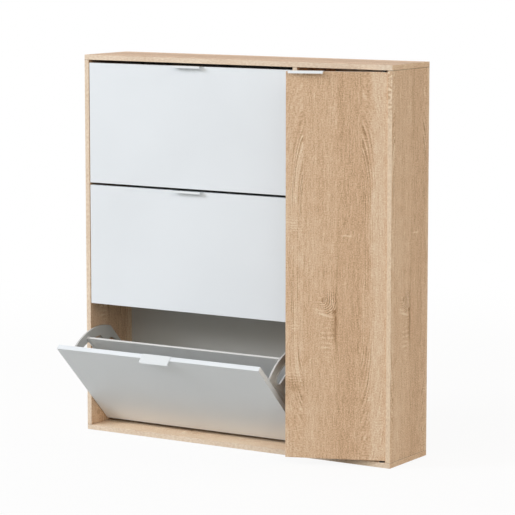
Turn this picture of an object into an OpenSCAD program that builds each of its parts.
// Shoe cabinet: a shallow carcass with three tilting flaps and one side-hung door.
// Each flap carries a shoe rack between two moulded cheeks. A cheek turns on a fixed pin, and a
// fixed peg that runs in its arc window stops the flap when it is shut and when it is open.
// Millimetres, +X to the right, +Y to the back, +Z up. The origin is the centre of the
// footprint, on the floor.

/* [Carcass] */
// Overall width
cabinet_w = 1062; // [1040:1:1200]
// Overall height
cabinet_h = 1150; // [1120:1:1240]
// Overall depth, back panels included
cabinet_d = 222; // [219:0.5:228]
// Thickness of the carcass boards
board_t = 15; // [14.5:0.5:18]
// Thickness of the back panels
back_t = 3; // [2.5:0.5:4]
// Margin left round the back panels
back_margin = 2; // [1:0.5:4]
// Clear width of the bay behind the door
door_bay_w = 297; // [270:1:320]

/* [Flaps] */
// Thickness of a flap
flap_t = 15; // [14:0.5:16]
// Gap between a flap and the board at each end
flap_side_gap = 2.8; // [2:0.1:4]
// Gap between the top flap and the top board
flap_top_gap = 9; // [6:0.5:12]
// Gap between two flaps
flap_gap = 7.5; // [7.5:0.5:12]
// Gap between the bottom flap and the base board
flap_bottom_gap = 8.5; // [8.5:0.5:12]
// Angle through which a flap opens
flap_travel = 45.5; // [40:0.5:46]

/* [Flap pivot and stop] */
// Height of the pivot above the flap's lower edge
pivot_up = 95.5; // [95.5:0.5:105]
// Distance of the pivot behind the flap's face
pivot_back = 39; // [36:0.5:39]
// Radius of the pivot pin
pivot_pin_r = 4; // [3:0.5:5]
// Radial running clearance of a pin in its bore
running_clear = 0.05; // [0.02:0.01:0.1]
// Thickness of the pivot's fixing plate
pivot_plate_t = 3; // [2:0.5:3]
// Half width of the pivot's fixing plate
pivot_plate_r = 11; // [9:0.5:12]
// Distance of each fixing screw from the pivot
pivot_screw_reach = 17; // [16:0.5:20]
// Radius of the stop peg
stop_r = 6; // [5:0.5:8]
// Distance from the pivot to the middle of the stop's arc window
stop_path_r = 155; // [150:1:158]

/* [Rack cheeks] */
// Radius of the cheek's outer arc about the pivot
cheek_r = 200; // [196:1:210]
// Gap between the closed cheek's rear edge and the back panel
cheek_back_gap = 6; // [5:0.5:10]
// Smallest gap between the swinging cheek and the back panel
cheek_swing_gap = 4; // [3:0.5:6]
// Height of the cheek's foot above the flap's lower edge
cheek_lift = 12.5; // [10:0.5:20]
// Distance of the cheek inboard of the flap's end
cheek_inset = 1; // [0.5:0.1:2]
// Thickness of the cheek's web
cheek_web = 2.5; // [2:0.1:3]
// Height of the stiffening ribs on the outer side
outer_rib = 3; // [2:0.1:4]
// Depth of the channels that hold the rack boards
channel_depth = 6; // [4:0.5:10]
// Width of a rib
rib_w = 2; // [1.5:0.1:3]
// Width of the arc window that the stop runs in
window_w = 30; // [26:0.5:32]
// Angle at which that window starts, from level
window_start = 84.8; // [84:0.1:86]
// Radius of the boss round the pivot
boss_r = 11; // [9:0.5:13]
// Width of the foot that is screwed to the flap
foot_w = 22; // [18:0.5:26]
// Thickness of that foot
foot_t = 3; // [2.5:0.1:4]
// Reach of the gussets between the foot and the web
gusset_reach = 14; // [10:1:20]

/* [Rack boards] */
// Thickness of the rack boards
rack_t = 6; // [4:0.5:8]
// Depth of the front pocket, from the flap to the divider
front_pocket_d = 94; // [80:1:98]
// Height of the divider
divider_h = 247; // [200:1:250]
// Clearance of a rack board in its channel
channel_clear = 0.2; // [0.1:0.05:0.4]
// Gap between the floor board's rear end and the cheek's lower rear corner
floor_rear_gap = 5; // [4:0.5:12]

/* [Pulls] */
// Length of a pull
pull_w = 100; // [80:1:140]
// Reach of a pull in front of the face
pull_reach = 15; // [12:0.5:22]
// Thickness of the pull's sheet
pull_t = 1.5; // [1.2:0.1:1.5]
// Depth of the pull's front lip
pull_lip = 5; // [4:0.5:8]
// Depth of the pull's rear leg
pull_leg = 18; // [15:0.5:26]
// Outer radius of the pull's bends
pull_bend_r = 2.5; // [2:0.1:4]
// Spacing of the pull's two screws
pull_screw_pitch = 64; // [40:1:64]

/* [Door] */
// Thickness of the door
door_t = 15; // [14.5:0.5:18]
// Gap at each side of the door
door_side_gap = 2.5; // [2.5:0.1:4]
// Gap under the door
door_bottom_gap = 5; // [4:0.5:8]
// Gap over the door
door_top_gap = 5.5; // [4:0.5:8]
// Distance of the door's axis from its hinged edge
hinge_inset = 12; // [12:0.5:16]
// Radius of the door's pivot pins
hinge_pin_r = 3; // [2.5:0.5:3]
// Length of a pivot pin inside the door
hinge_pin_grip = 18; // [14:1:24]
// Distance from the door's opening edge to its pull
door_pull_inset = 8; // [4:1:30]
// Angle at which the door stands open
door_open = 21; // [0:1:90]

/* [Shelves] */
// Gap between the shelves and the corner that the door swings past them
shelf_swing_gap = 2; // [1:0.5:8]
// Gap round a shelf
shelf_gap = 0.5; // [0.3:0.1:1]
// Radius of a shelf pin
shelf_pin_r = 2.5; // [2:0.25:3]
// Length of a shelf pin
shelf_pin_len = 16; // [12:1:20]
// Depth of a shelf pin's hole
shelf_hole_depth = 8; // [6:1:10]
// Distance of the pins from a shelf's front and rear edges
shelf_pin_inset = 37; // [30:1:45]
// Step between the heights that a shelf can take
shelf_step = 32; // [25:1:32]

/* [Fittings] */
// Radius of a cam lock
cam_r = 7.5; // [6:0.5:7.5]
// Depth of a cam lock
cam_depth = 12.5; // [11:0.5:12.5]
// Distance of a cam lock from the end of its board
cam_reach = 34; // [24:1:34]
// Distance of the cam locks from the front and rear edges
cam_inset = 37; // [30:1:45]
// Radius of a connecting bolt
cam_bolt_r = 3; // [2.5:0.25:3.5]
// Length of a bolt's thread in the top or base board
cam_bolt_grip = 11; // [9:0.5:12]
// Radius of a dowel
dowel_r = 4; // [3:0.5:4]
// Length of a dowel
dowel_len = 30; // [26:1:35]
// Length of a dowel in the top or base board
dowel_grip = 10; // [8:0.5:12]
// Radius of a wood screw's shank
screw_r = 1.75; // [1.5:0.05:2]
// Radius of a wood screw's head
screw_head_r = 3.5; // [3:0.1:3.5]
// Height of a wood screw's head
screw_head_h = 2.2; // [1.6:0.1:2.5]
// Length of a wood screw's shank
screw_len = 13; // [10:0.5:13]
// Clearance round fixed fittings
fit_clear = 0.1; // [0.05:0.05:0.2]
// Radius of a back panel nail
nail_r = 0.8; // [0.6:0.1:1]
// Length of a back panel nail
nail_len = 20; // [15:1:25]
// Greatest spacing of the nails
nail_spacing = 170; // [120:5:220]

/* [Hidden] */
$fn = 48;
flap_count = 3;
shelf_count = 5;
FLAPS = [1:flap_count];
SHELVES = [1:shelf_count];
flap_piece_names = [
    "panel", "pull", "pull_screws", "left_cheek", "right_cheek",
    "divider", "floor", "rack_screws", "pivots", "stops"
];
carcass_names = [
    "top_panel", "base_panel", "left_side", "right_side", "partition",
    "back_panel_left", "back_panel_right", "back_nails", "cam_locks", "cam_bolts", "dowels",
    "shelf_pins", "pivot_screws", "door_pivot_bushes"
];
door_names = ["door_panel", "door_pull", "door_pull_screws", "door_pivot_pins"];

OAK = "burlywood";
WHITE = "whitesmoke";
PLASTIC = "gainsboro";
METAL = "silver";

// Directions for the rods, which start along +Z.
TO_RIGHT = [0, 90, 0];
TO_LEFT = [0, -90, 0];
TO_FRONT = [90, 0, 0];
DOWN = [180, 0, 0];

// How far a cutter runs past the face that it opens.
past = 1;

// Planes of the carcass.
left_x = -cabinet_w / 2;
right_x = cabinet_w / 2;
left_in = left_x + board_t;
right_in = right_x - board_t;
part_right = right_in - door_bay_w;
part_left = part_right - board_t;
part_mid = (part_left + part_right) / 2;
front_y = -cabinet_d / 2;
back_y = cabinet_d / 2;
boards_back_y = back_y - back_t;
boards_mid_y = (front_y + boards_back_y) / 2;
floor_in = board_t;
top_in = cabinet_h - board_t;
inner_h = top_in - floor_in;

// The left edge, inner face and inward direction of each upright. The cams go in the inner face.
UPRIGHTS = [
    [left_x, left_in, TO_LEFT],
    [part_left, part_right, TO_LEFT],
    [right_in, right_in, TO_RIGHT]
];
cam_rows = [front_y + cam_inset, boards_back_y - cam_inset];

// Flaps: number 1 is the top one, and number 3 stands open.
flap_x0 = left_in + flap_side_gap;
flap_x1 = part_left - flap_side_gap;
flap_gaps = flap_bottom_gap + flap_top_gap + (flap_count - 1) * flap_gap;
flap_h = (inner_h - flap_gaps) / flap_count;
flap_pitch = flap_h + flap_gap;
flap_angles = [0, 0, flap_travel];
pivot_y = front_y + pivot_back;

function flap_z(n) = floor_in + flap_bottom_gap + (flap_count - n) * flap_pitch;
function pivot_z(n) = flap_z(n) + pivot_up;

// Cheek, in its own frame: the pivot is the origin, y runs to the back and z up.
cheek_front = flap_t - pivot_back;
cheek_rear = boards_back_y - cheek_back_gap - pivot_y;
cheek_swing_r = boards_back_y - cheek_swing_gap - pivot_y;
cheek_bottom = cheek_lift - pivot_up;
cheek_top = sqrt(pow(cheek_r, 2) - pow(cheek_front, 2));
cheek_inner = outer_rib + cheek_web;
cheek_depth = cheek_inner + channel_depth;
cheek_wall_gap = flap_side_gap + cheek_inset;
foot_rear = cheek_front + foot_t;
foot_screw_inset = 26;
foot_screw_zs = [cheek_bottom + foot_screw_inset, (cheek_bottom + cheek_top) / 2,
                 cheek_top - foot_screw_inset];
foot_screw_x = (cheek_depth + foot_w) / 2;

// The window lets the peg travel as far as the flap turns. The ends of an arc slot are wider than
// the slot by the swell on each side.
slot_swell = 0.3;
stop_slack = asin((window_w / 2 + slot_swell - stop_r) / stop_path_r);
stop_angle = window_start + stop_slack;
window_end = stop_angle - flap_travel + stop_slack;

// Rack boards.
floor_bottom = cheek_bottom + rib_w + channel_clear;
floor_top = floor_bottom + rack_t;
floor_front = foot_rear + channel_clear;
floor_rear = sqrt(pow(cheek_swing_r, 2) - pow(cheek_bottom, 2)) - floor_rear_gap;
divider_front = cheek_front + front_pocket_d;
divider_rear = divider_front + rack_t;
rack_x0 = flap_x0 + cheek_inset + cheek_inner + channel_clear;
rack_x1 = flap_x1 - cheek_inset - cheek_inner - channel_clear;

// Door.
door_x0 = part_right + door_side_gap;
door_x1 = right_in - door_side_gap;
door_z0 = floor_in + door_bottom_gap;
door_z1 = top_in - door_top_gap;
hinge_x = door_x1 - hinge_inset;
hinge_y = front_y + door_t / 2;
bush_r = 5;
bush_depth = 10;
bush_flange_r = 8;
bush_flange_t = 1.5;
collar_r = 5.5;
collar_gap = 0.3;

// Shelves.
shelf_clear_h = (inner_h - shelf_count * board_t) / (shelf_count + 1);
shelf_y0 = hinge_y + norm([hinge_inset, door_t / 2]) + shelf_swing_gap;
shelf_y1 = boards_back_y - shelf_gap;
shelf_pin_rows = [shelf_y0 + shelf_pin_inset, shelf_y1 - shelf_pin_inset];
shelf_offers = [-shelf_step, 0, shelf_step];

function shelf_z(i) = floor_in + i * shelf_clear_h + (i - 1) * board_t;

// ---- Building blocks ----

// A box between its lowest and highest corners.
module block(low, high) {
    translate(low) cube(high - low);
}

// A straight rod from a point, in one of the directions above.
module rod(at, turn, r, length) {
    translate(at) rotate(turn) cylinder(r = r, h = length);
}

// A rectangle between its lowest and highest corners.
module panel_2d(low, high) {
    translate(low) square(high - low);
}

// A plate seen from the side: the outline's axes are +Y and +Z, and its thickness runs along +X.
module side_plate(x, thickness) {
    translate([x, 0, 0]) rotate([90, 0, 90]) linear_extrude(thickness) children();
}

// A pan-head screw. Its head's seat is the origin, and its shank runs along +Z.
module pan_screw() {
    point_h = 2 * screw_r;
    cylinder(r = screw_r, h = screw_len - point_h);
    translate([0, 0, screw_len - point_h]) cylinder(r1 = screw_r, r2 = screw_r / 4, h = point_h);
    dome_r = (pow(screw_head_r, 2) + pow(screw_head_h, 2)) / (2 * screw_head_h);
    intersection() {
        translate([0, 0, dome_r - screw_head_h]) sphere(r = dome_r);
        translate([0, 0, -screw_head_h]) cylinder(r = screw_head_r, h = screw_head_h);
    }
}

// A slot that follows an arc about the origin, with round ends that swell a little past it.
module arc_slot(path_r, width, from, to) {
    half = width / 2;
    far = 2 * path_r;
    intersection() {
        difference() {
            circle(r = path_r + half);
            circle(r = path_r - half);
        }
        polygon([
            [0, 0],
            far * [cos(from), sin(from)],
            far * [cos((from + to) / 2), sin((from + to) / 2)],
            far * [cos(to), sin(to)]
        ]);
    }
    for (angle = [from, to]) {
        translate(path_r * [cos(angle), sin(angle)]) circle(r = half + slot_swell);
    }
}

// ---- Carcass ----

// The cam lock's place in every upright: at both ends and in both rows.
module at_cams() {
    for (upright = UPRIGHTS) {
        for (y = cam_rows) {
            for (z = [floor_in + cam_reach, top_in - cam_reach]) {
                translate([upright[1], y, z]) rotate(upright[2]) children();
            }
        }
    }
}

// The ends of the uprights, in the given rows: +Z runs from the joint into the upright.
module at_joints(rows) {
    for (upright = UPRIGHTS) {
        for (y = rows) {
            translate([upright[0] + board_t / 2, y, floor_in]) children();
            translate([upright[0] + board_t / 2, y, top_in]) rotate(DOWN) children();
        }
    }
}

module joint_bores() {
    at_cams() {
        translate([0, 0, -past]) cylinder(r = cam_r + fit_clear, h = cam_depth + fit_clear + past);
    }
    at_joints(cam_rows) {
        translate([0, 0, -cam_bolt_grip - fit_clear])
            cylinder(r = cam_bolt_r + fit_clear, h = cam_bolt_grip + cam_reach);
    }
    at_joints([boards_mid_y]) {
        translate([0, 0, -dowel_grip - fit_clear])
            cylinder(r = dowel_r + fit_clear, h = dowel_len + 2 * fit_clear);
    }
}

module cam_locks() {
    slot_w = 1.6;
    slot_depth = 2;
    color(METAL) at_cams() {
        difference() {
            cylinder(r = cam_r, h = cam_depth);
            for (turn = [0, 90]) {
                rotate([0, 0, turn]) translate([-cam_r / 2, -slot_w / 2, -past])
                    cube([cam_r, slot_w, slot_depth + past]);
            }
        }
    }
}

module cam_bolts() {
    color(METAL) at_joints(cam_rows) {
        translate([0, 0, -cam_bolt_grip])
            cylinder(r = cam_bolt_r, h = cam_bolt_grip + cam_reach - cam_r - fit_clear);
    }
}

module dowels() {
    chamfer = 1;
    color(OAK) at_joints([boards_mid_y]) {
        translate([0, 0, -dowel_grip]) {
            cylinder(r1 = dowel_r - chamfer, r2 = dowel_r, h = chamfer);
            translate([0, 0, chamfer]) cylinder(r = dowel_r, h = dowel_len - 2 * chamfer);
            translate([0, 0, dowel_len - chamfer])
                cylinder(r1 = dowel_r, r2 = dowel_r - chamfer, h = chamfer);
        }
    }
}

// Nails: a row up each board behind a back panel's edge, and a row along the base and the top.
nail_head_r = 2;
nail_head_t = 0.8;
nail_split = 4;
nail_columns = [left_x + board_t / 2, part_mid - nail_split, part_mid + nail_split,
                right_x - board_t / 2];
nail_bays = [[nail_columns[0], nail_columns[1]], [nail_columns[2], nail_columns[3]]];

function nail_steps(span) = ceil(span / nail_spacing);

// Keeps the nails in the columns clear of the ends of the uprights.
nail_end = 60;

module at_nails() {
    column_h = cabinet_h - 2 * nail_end;
    for (x = nail_columns) {
        for (i = [0:nail_steps(column_h)]) {
            translate([x, back_y, nail_end + i * column_h / nail_steps(column_h)])
                rotate(TO_FRONT) children();
        }
    }
    for (bay = nail_bays) {
        bay_w = bay[1] - bay[0];
        for (i = [1:nail_steps(bay_w) - 1]) {
            for (z = [board_t / 2, cabinet_h - board_t / 2]) {
                translate([bay[0] + i * bay_w / nail_steps(bay_w), back_y, z])
                    rotate(TO_FRONT) children();
            }
        }
    }
}

module nail_bores() {
    at_nails() {
        cylinder(r = nail_r + fit_clear, h = nail_len + fit_clear);
        translate([0, 0, -past]) cylinder(r = nail_head_r + fit_clear, h = nail_head_t + past);
    }
}

module back_nails() {
    color(METAL) at_nails() {
        cylinder(r = nail_r, h = nail_len);
        cylinder(r = nail_head_r, h = nail_head_t);
    }
}

module horizontal_board(z) {
    color(OAK) difference() {
        block([left_x, front_y, z], [right_x, boards_back_y, z + board_t]);
        joint_bores();
        nail_bores();
        door_bush_bores();
    }
}

module base_panel() {
    horizontal_board(0);
}

module top_panel() {
    horizontal_board(top_in);
}

module upright(x) {
    color(OAK) difference() {
        block([x, front_y, floor_in], [x + board_t, boards_back_y, top_in]);
        joint_bores();
        nail_bores();
        flap_fitting_bores();
        shelf_holes();
    }
}

module left_side() {
    upright(left_x);
}

module partition() {
    upright(part_left);
}

module right_side() {
    upright(right_in);
}

module back_panel(x0, x1) {
    color(WHITE) difference() {
        block([x0, boards_back_y, back_margin], [x1, back_y, cabinet_h - back_margin]);
        nail_bores();
    }
}

back_seam = 0.5;

module back_panel_left() {
    back_panel(left_x + back_margin, part_mid - back_seam);
}

module back_panel_right() {
    back_panel(part_mid + back_seam, right_x - back_margin);
}

// ---- Shelves ----

module shelf(i) {
    color(OAK) block(
        [part_right + shelf_gap, shelf_y0, shelf_z(i)],
        [right_in - shelf_gap, shelf_y1, shelf_z(i) + board_t]
    );
}

// The four pins of a shelf lie under it. An offset gives the heights that it could be moved to.
module at_shelf_pins(offset_z) {
    for (i = SHELVES) {
        for (y = shelf_pin_rows) {
            translate([part_right, y, shelf_z(i) - shelf_pin_r + offset_z])
                rotate(TO_LEFT) children();
            translate([right_in, y, shelf_z(i) - shelf_pin_r + offset_z])
                rotate(TO_RIGHT) children();
        }
    }
}

module shelf_holes() {
    for (offset_z = shelf_offers) {
        at_shelf_pins(offset_z) {
            translate([0, 0, -past])
                cylinder(r = shelf_pin_r + fit_clear, h = shelf_hole_depth + fit_clear + past);
        }
    }
}

module shelf_pins() {
    color(METAL) at_shelf_pins(0) {
        translate([0, 0, shelf_hole_depth - shelf_pin_len])
            cylinder(r = shelf_pin_r, h = shelf_pin_len);
    }
}

// ---- Pulls ----

// The pull's section: a sheet over the board's edge, with a short lip in front and a leg behind.
// The board's front top edge is the origin.
module pull_section(edge_t) {
    inner_r = pull_bend_r - pull_t;
    front = -pull_reach;
    rear = edge_t + pull_t;
    difference() {
        union() {
            panel_2d([front, -pull_leg], [rear, pull_t - pull_bend_r]);
            panel_2d([front + pull_bend_r, -pull_leg], [rear - pull_bend_r, pull_t]);
            for (y = [front + pull_bend_r, rear - pull_bend_r]) {
                translate([y, pull_t - pull_bend_r]) circle(r = pull_bend_r);
            }
        }
        panel_2d([front + pull_t, -pull_leg - past], [edge_t, -inner_r]);
        panel_2d([front + pull_t + inner_r, -pull_leg - past], [edge_t, 0]);
        translate([front + pull_t + inner_r, -inner_r]) circle(r = inner_r);
        panel_2d([front - past, -pull_leg - past], [0, -pull_lip]);
    }
}

module at_pull_screws(edge_t, depth) {
    screw_drop = 10;
    for (x = [-pull_screw_pitch / 2, pull_screw_pitch / 2]) {
        translate([x, edge_t + depth, -screw_drop]) rotate(TO_FRONT) children();
    }
}

module pull(edge_t) {
    color(METAL) difference() {
        side_plate(-pull_w / 2, pull_w) pull_section(edge_t);
        at_pull_screws(edge_t, pull_t) {
            translate([0, 0, -past]) cylinder(r = screw_r + fit_clear, h = pull_t + 2 * past);
        }
    }
}

module pull_screws(edge_t) {
    color(METAL) at_pull_screws(edge_t, pull_t) pan_screw();
}

// The screws' holes in the board that the pull sits on.
module pull_bores(edge_t) {
    at_pull_screws(edge_t, pull_t) {
        cylinder(r = screw_r + fit_clear, h = screw_len + fit_clear);
    }
}

// ---- Flaps and racks ----

// Places a flap's pieces, drawn with the pivot as their origin, at the flap's own angle.
module on_flap(n) {
    translate([0, pivot_y, pivot_z(n)]) rotate([flap_angles[n - 1], 0, 0]) children();
}

// The place of a flap's pull, from the pivot.
module at_flap_pull() {
    translate([(flap_x0 + flap_x1) / 2, -pivot_back, flap_h - pivot_up]) children();
}

// Both ends of a rack: +X runs from the end inward.
module at_rack_ends() {
    translate([flap_x0 + cheek_inset, 0, 0]) children();
    translate([flap_x1 - cheek_inset, 0, 0]) mirror([1, 0, 0]) children();
}

// The cheek's foot is screwed to the flap from behind.
module at_foot_screws() {
    for (z = foot_screw_zs) {
        translate([foot_screw_x, foot_rear, z]) rotate(TO_FRONT) children();
    }
}

module flap_panel(n) {
    color(WHITE) on_flap(n) difference() {
        block([flap_x0, -pivot_back, -pivot_up], [flap_x1, cheek_front, flap_h - pivot_up]);
        at_flap_pull() pull_bores(flap_t);
        at_rack_ends() at_foot_screws() {
            cylinder(r = screw_r + fit_clear, h = screw_len + fit_clear);
        }
    }
}

module flap_pull(n) {
    on_flap(n) at_flap_pull() pull(flap_t);
}

module flap_pull_screws(n) {
    on_flap(n) at_flap_pull() pull_screws(flap_t);
}

// A fan about the pivot. Above the pivot its edge is the outer arc, and below the pivot it keeps
// within the radius that swings clear of the back panel.
module cheek_outline(inset) {
    seam = 2;
    intersection() {
        circle(r = cheek_r - inset);
        panel_2d([cheek_front + inset, 0], [cheek_rear - inset, cheek_r]);
    }
    intersection() {
        circle(r = cheek_swing_r - inset);
        panel_2d([cheek_front + inset, cheek_bottom + inset], [cheek_rear - inset, seam]);
    }
}

// The windows that only lighten the cheek: one below the stop's window and two nearer the pivot,
// with the angles of their ends from level. The spokes run between them.
low_window_w = 22;
low_window_ends = [-16, 24];
inner_path_r = 94;
inner_window_w = 32;
inner_window_ends = [[-34, 2], [36, 77]];
spoke_angles = [-49, 19, 96];

// Every window: path radius, width and the angles of both ends.
windows = concat(
    [
        [stop_path_r, window_w, window_end, window_start],
        [stop_path_r, low_window_w, low_window_ends[0], low_window_ends[1]]
    ],
    [for (ends = inner_window_ends) [inner_path_r, inner_window_w, ends[0], ends[1]]]
);

module cheek_windows(grow) {
    for (window = windows) {
        arc_slot(window[0], window[1] + 2 * grow, window[2], window[3]);
    }
}

// The space that the rack boards need, with their clearance.
module rack_boards_space(grow) {
    block([cheek_inner, floor_front - grow, floor_bottom - grow],
          [cheek_depth + past, floor_rear + grow, floor_top + grow]);
    block([cheek_inner, divider_front - grow, floor_top - grow],
          [cheek_depth + past, divider_rear + grow, floor_top + divider_h + past]);
}

// The ribs that form the boards' channels: a U round the floor's end and a pair at the divider's.
module channel_ribs() {
    wall = channel_clear + rib_w;
    difference() {
        union() {
            block([outer_rib, foot_rear, floor_bottom - wall],
                  [cheek_depth, floor_rear + wall, floor_top + wall]);
            block([outer_rib, divider_front - wall, floor_top],
                  [cheek_depth, divider_rear + wall, floor_top + divider_h]);
        }
        rack_boards_space(channel_clear);
    }
}

// Triangular gussets that brace the foot, two between each pair of its screws.
module gussets() {
    overlap = 0.5;
    zs = foot_screw_zs;
    for (i = [0:len(zs) - 2]) {
        for (share = [1 / 3, 2 / 3]) {
            translate([0, 0, zs[i] + share * (zs[i + 1] - zs[i]) - rib_w / 2])
                linear_extrude(rib_w) polygon([
                    [cheek_inner - overlap, foot_rear - overlap],
                    [cheek_inner + gusset_reach, foot_rear - overlap],
                    [cheek_inner + gusset_reach, foot_rear],
                    [cheek_inner, foot_rear + gusset_reach],
                    [cheek_inner - overlap, foot_rear + gusset_reach]
                ]);
        }
    }
}

// The windows go through the web alone, so the channels cross them on the inner side, and the
// stop passes behind the channels.
module cheek() {
    difference() {
        union() {
            side_plate(outer_rib, cheek_web) cheek_outline(0);
            side_plate(0, outer_rib + past / 2) {
                difference() {
                    cheek_outline(0);
                    cheek_outline(rib_w);
                }
                cheek_windows(rib_w);
                for (angle = spoke_angles) {
                    intersection() {
                        rotate(angle) translate([0, -rib_w / 2]) square([cheek_r, rib_w]);
                        cheek_outline(0);
                    }
                }
            }
            rod([0, 0, 0], TO_RIGHT, boss_r, cheek_depth);
            block([0, cheek_front, cheek_bottom], [foot_w, foot_rear, cheek_top]);
            gussets();
            channel_ribs();
        }
        side_plate(-past, cheek_inner + past) cheek_windows(0);
        rod([-past, 0, 0], TO_RIGHT, pivot_pin_r + running_clear, cheek_depth + 2 * past);
        at_foot_screws() {
            translate([0, 0, -past]) cylinder(r = screw_r + fit_clear, h = foot_t + 2 * past);
        }
    }
}

module flap_left_cheek(n) {
    color(PLASTIC) on_flap(n) translate([flap_x0 + cheek_inset, 0, 0]) cheek();
}

module flap_right_cheek(n) {
    color(PLASTIC) on_flap(n) translate([flap_x1 - cheek_inset, 0, 0]) mirror([1, 0, 0]) cheek();
}

module flap_divider(n) {
    color(WHITE) on_flap(n)
        block([rack_x0, divider_front, floor_top], [rack_x1, divider_rear, floor_top + divider_h]);
}

module flap_floor(n) {
    color(WHITE) on_flap(n)
        block([rack_x0, floor_front, floor_bottom], [rack_x1, floor_rear, floor_top]);
}

module flap_rack_screws(n) {
    color(METAL) on_flap(n) at_rack_ends() at_foot_screws() pan_screw();
}

// Both boards beside a flap's pivot: +X runs from the board's face inward, with the pivot as the
// origin.
module at_flap_walls(n) {
    translate([left_in, pivot_y, pivot_z(n)]) children();
    translate([part_left, pivot_y, pivot_z(n)]) mirror([1, 0, 0]) children();
}

module at_pivot_screws() {
    for (z = [-pivot_screw_reach, pivot_screw_reach]) {
        translate([0, 0, z]) children();
    }
}

// A pin on an oval plate, with a shoulder that keeps the cheek off the plate.
module pivot() {
    shoulder_r = pivot_pin_r + 3;
    shoulder_gap = 0.3;
    pin_end = cheek_wall_gap + cheek_depth;
    difference() {
        union() {
            side_plate(0, pivot_plate_t) {
                for (z = [-pivot_screw_reach, pivot_screw_reach]) {
                    translate([0, z]) circle(r = pivot_plate_r);
                }
                panel_2d([-pivot_plate_r, -pivot_screw_reach], [pivot_plate_r, pivot_screw_reach]);
            }
            rod([0, 0, 0], TO_RIGHT, shoulder_r, cheek_wall_gap - shoulder_gap);
            rod([0, 0, 0], TO_RIGHT, pivot_pin_r, pin_end - pivot_pin_r / 4);
            translate([pin_end - pivot_pin_r / 4, 0, 0]) rotate(TO_RIGHT)
                cylinder(r1 = pivot_pin_r, r2 = 0.75 * pivot_pin_r, h = pivot_pin_r / 4);
        }
        at_pivot_screws() {
            rod([-past, 0, 0], TO_RIGHT, screw_r + fit_clear, pivot_plate_t + 2 * past);
            translate([pivot_plate_t - screw_head_h, 0, 0]) rotate(TO_RIGHT)
                cylinder(r1 = screw_r + fit_clear, r2 = screw_head_r + 2 * fit_clear,
                         h = screw_head_h);
        }
    }
}

// A countersunk screw, flush with the plate's face.
module sunk_screw() {
    point_h = 2 * screw_r;
    from_face = screw_len - point_h;
    translate([pivot_plate_t, 0, 0]) rotate(TO_LEFT) {
        cylinder(r1 = screw_head_r, r2 = screw_r, h = screw_head_h);
        cylinder(r = screw_r, h = from_face);
        translate([0, 0, from_face]) cylinder(r1 = screw_r, r2 = screw_r / 4, h = point_h);
    }
}

module flap_pivots(n) {
    color(PLASTIC) at_flap_walls(n) pivot();
}

module pivot_screws() {
    color(METAL) for (n = FLAPS) at_flap_walls(n) at_pivot_screws() sunk_screw();
}

// The stop: a plug in the board, a flange on its face and a peg in the cheek's window.
stop_plug_r = 4;
stop_plug_depth = 10;
stop_flange_r = 9;
stop_flange_t = 2;

module at_stop() {
    translate(stop_path_r * [0, cos(stop_angle), sin(stop_angle)]) children();
}

module flap_stops(n) {
    tip_gap = 0.5;
    color(PLASTIC) at_flap_walls(n) at_stop() {
        rod([-stop_plug_depth, 0, 0], TO_RIGHT, stop_plug_r, stop_plug_depth + stop_flange_t);
        rod([0, 0, 0], TO_RIGHT, stop_flange_r, stop_flange_t);
        rod([0, 0, 0], TO_RIGHT, stop_r, cheek_wall_gap + cheek_inner - tip_gap);
    }
}

// The holes that the flaps' fittings need in the boards beside them.
module flap_fitting_bores() {
    for (n = FLAPS) at_flap_walls(n) {
        at_stop() rod([past, 0, 0], TO_LEFT, stop_plug_r + fit_clear,
                      stop_plug_depth + fit_clear + past);
        at_pivot_screws() rod([past, 0, 0], TO_LEFT, screw_r + fit_clear, screw_len);
    }
}

// ---- Door ----

// Turns the door's pieces, drawn shut, to the angle at which the door stands.
module on_door() {
    translate([hinge_x, hinge_y, 0]) rotate([0, 0, door_open])
        translate([-hinge_x, -hinge_y, 0]) children();
}

module at_door_pull() {
    translate([door_x0 + door_pull_inset + pull_w / 2, front_y, door_z1]) children();
}

// Both ends of the door's axis: +Z runs from the carcass board towards the door. The argument
// picks the bottom or the top end.
module at_hinge(bottom) {
    if (bottom) translate([hinge_x, hinge_y, floor_in]) children();
    else translate([hinge_x, hinge_y, top_in]) mirror([0, 0, 1]) children();
}

function hinge_gap(bottom) = bottom ? door_bottom_gap : door_top_gap;

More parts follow.
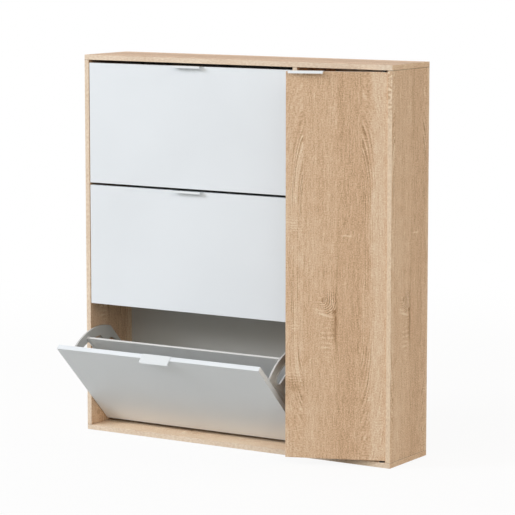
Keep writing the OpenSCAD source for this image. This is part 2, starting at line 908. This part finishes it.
// A pin in the door's end, with a collar that carries the door on the bush.
module hinge_pin(gap) {
    collar_z = bush_flange_t + collar_gap;
    pin_end = bush_depth - 1;
    translate([0, 0, -pin_end]) cylinder(r = hinge_pin_r, h = pin_end + gap + hinge_pin_grip);
    translate([0, 0, collar_z]) cylinder(r = collar_r, h = gap - collar_z);
}

// A flanged bush in the carcass board.
module hinge_bush() {
    difference() {
        union() {
            translate([0, 0, -bush_depth]) cylinder(r = bush_r, h = bush_depth);
            cylinder(r = bush_flange_r, h = bush_flange_t);
        }
        translate([0, 0, -bush_depth - past])
            cylinder(r = hinge_pin_r + running_clear, h = bush_depth + bush_flange_t + 2 * past);
    }
}

module door_pivot_bushes() {
    color(PLASTIC) for (bottom = [true, false]) at_hinge(bottom) hinge_bush();
}

module door_bush_bores() {
    for (bottom = [true, false]) at_hinge(bottom) {
        translate([0, 0, -bush_depth - fit_clear])
            cylinder(r = bush_r + fit_clear, h = bush_depth + fit_clear + past);
    }
}

module door_pivot_pins() {
    color(METAL) on_door() for (bottom = [true, false]) {
        at_hinge(bottom) hinge_pin(hinge_gap(bottom));
    }
}

module door_panel() {
    color(OAK) on_door() difference() {
        block([door_x0, front_y, door_z0], [door_x1, front_y + door_t, door_z1]);
        at_door_pull() pull_bores(door_t);
        for (bottom = [true, false]) at_hinge(bottom) {
            translate([0, 0, hinge_gap(bottom) - past])
                cylinder(r = hinge_pin_r + fit_clear, h = hinge_pin_grip + fit_clear + past);
        }
    }
}

module door_pull() {
    on_door() at_door_pull() pull(door_t);
}

module door_pull_screws() {
    on_door() at_door_pull() pull_screws(door_t);
}

// ---- Nodes ----

top_panel();
base_panel();
left_side();
right_side();
partition();
back_panel_left();
back_panel_right();
back_nails();
cam_locks();
cam_bolts();
dowels();
shelf_pins();
pivot_screws();
door_pivot_bushes();
door_panel();
door_pull();
door_pull_screws();
door_pivot_pins();
for (i = SHELVES) {
    shelf(i);
}
for (n = FLAPS) {
    flap_panel(n);
    flap_pull(n);
    flap_pull_screws(n);
    flap_left_cheek(n);
    flap_right_cheek(n);
    flap_divider(n);
    flap_floor(n);
    flap_rack_screws(n);
    flap_pivots(n);
    flap_stops(n);
}
